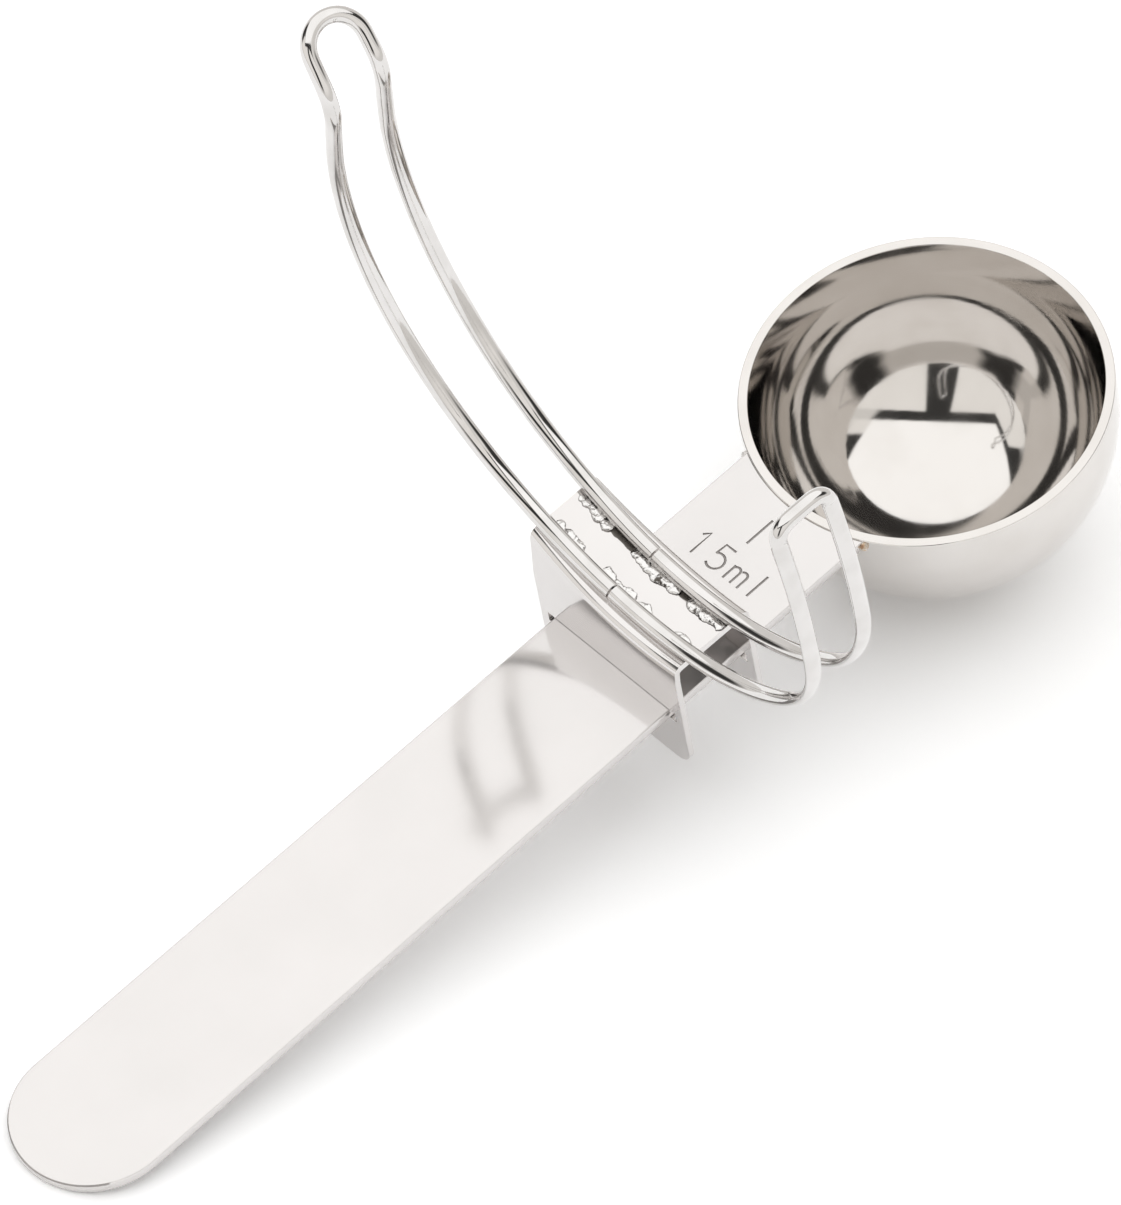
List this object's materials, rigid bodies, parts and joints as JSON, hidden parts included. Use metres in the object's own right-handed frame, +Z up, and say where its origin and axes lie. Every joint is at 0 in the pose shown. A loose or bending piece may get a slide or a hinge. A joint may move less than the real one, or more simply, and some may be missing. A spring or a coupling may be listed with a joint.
{
  "type": "coffee scoop",
  "caption": "Round steel coffee scoop on a long flat strip handle, with a slotted saddle that slides along it and carries a wire lever and hook for clipping a bag shut.",
  "frame": {"origin": "middle of the bounding box's underside, on the table on which the scoop rests on its bowl and its handle's end", "axes": "+X along the table from the handle's round end to the bowl, +Y to the side of the clip's long lever, +Z up; the handle slopes up to the bowl by 9.85 degrees"},
  "size_m": [0.1384, 0.069, 0.0812],
  "materials": {
    "polished_steel": "mirror polished stainless steel",
    "satin_steel": "bright satin stainless steel",
    "wire_steel": "drawn and polished stainless wire",
    "weld_steel": "heat-tinted weld metal",
    "braze_metal": "rough bright braze"
  },
  "bodies": {
    "scoop": {"handle_strip": "satin_steel", "bowl": "polished_steel", "weld_bead_left": "weld_steel", "weld_bead_right": "weld_steel"},
    "clip": {"clip_saddle": "satin_steel", "lever_wire": "wire_steel", "hook_wire": "wire_steel", "braze_left_lever": "braze_metal", "braze_left_butt": "braze_metal", "braze_left_hook": "braze_metal", "braze_right_lever": "braze_metal", "braze_right_butt": "braze_metal", "braze_right_hook": "braze_metal"}
  },
  "joints": [
    {"name": "clip_slide", "type": "slide", "parent": "scoop", "child": "clip", "axis": [0.9853, 0, 0.1711], "range_m": [-0.066, 0.013]}
  ]
}
